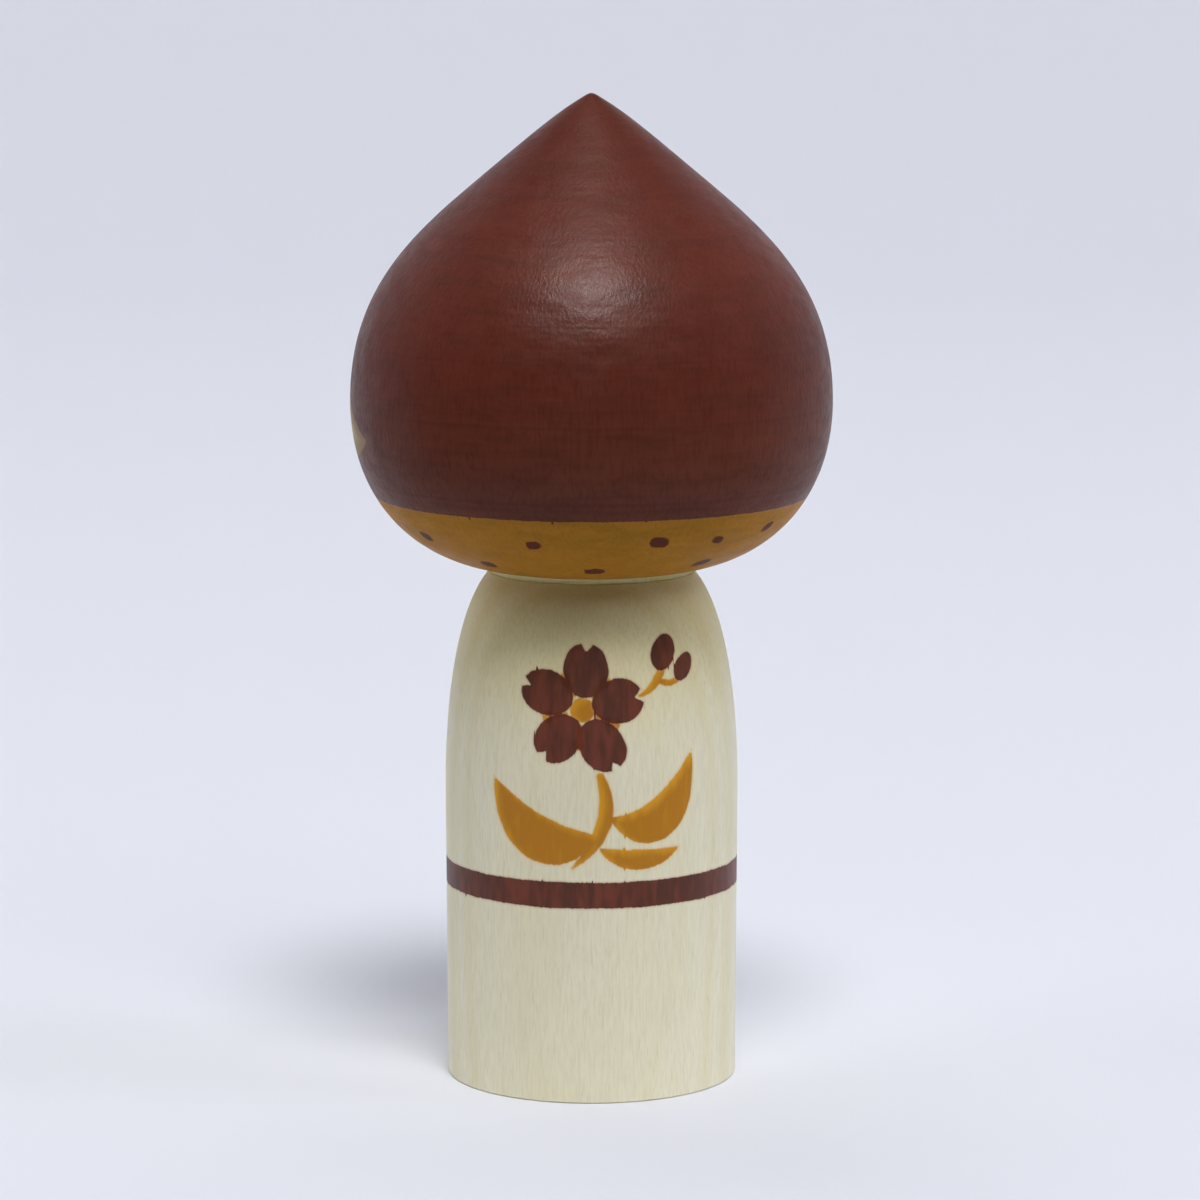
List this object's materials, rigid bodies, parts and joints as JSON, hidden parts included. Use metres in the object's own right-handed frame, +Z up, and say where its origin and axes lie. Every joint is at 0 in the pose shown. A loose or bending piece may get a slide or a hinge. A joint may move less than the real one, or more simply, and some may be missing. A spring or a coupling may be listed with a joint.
{
  "type": "chestnut kokeshi doll",
  "caption": "Small turned wooden doll with a chestnut-shaped head, painted brown over a dotted ochre base, on a pale cylindrical body with a brown ring.",
  "frame": {"origin": "centre of the flat base that the doll stands on", "axes": "+Z up along the turning axis, -Y towards the side where the painted face is, +X to the right of someone who looks at the face"},
  "size_m": [0.049, 0.049, 0.1007],
  "materials": {
    "painted_head": "satin brown paint over turned wood, with an ochre band, brown dots and a bare wood face opening",
    "bare_body": "pale close-grained wood, thinly waxed, with a painted brown ring and brush ornament"
  },
  "bodies": {
    "root": {"head": "painted_head", "body": "bare_body"}
  },
  "joints": []
}
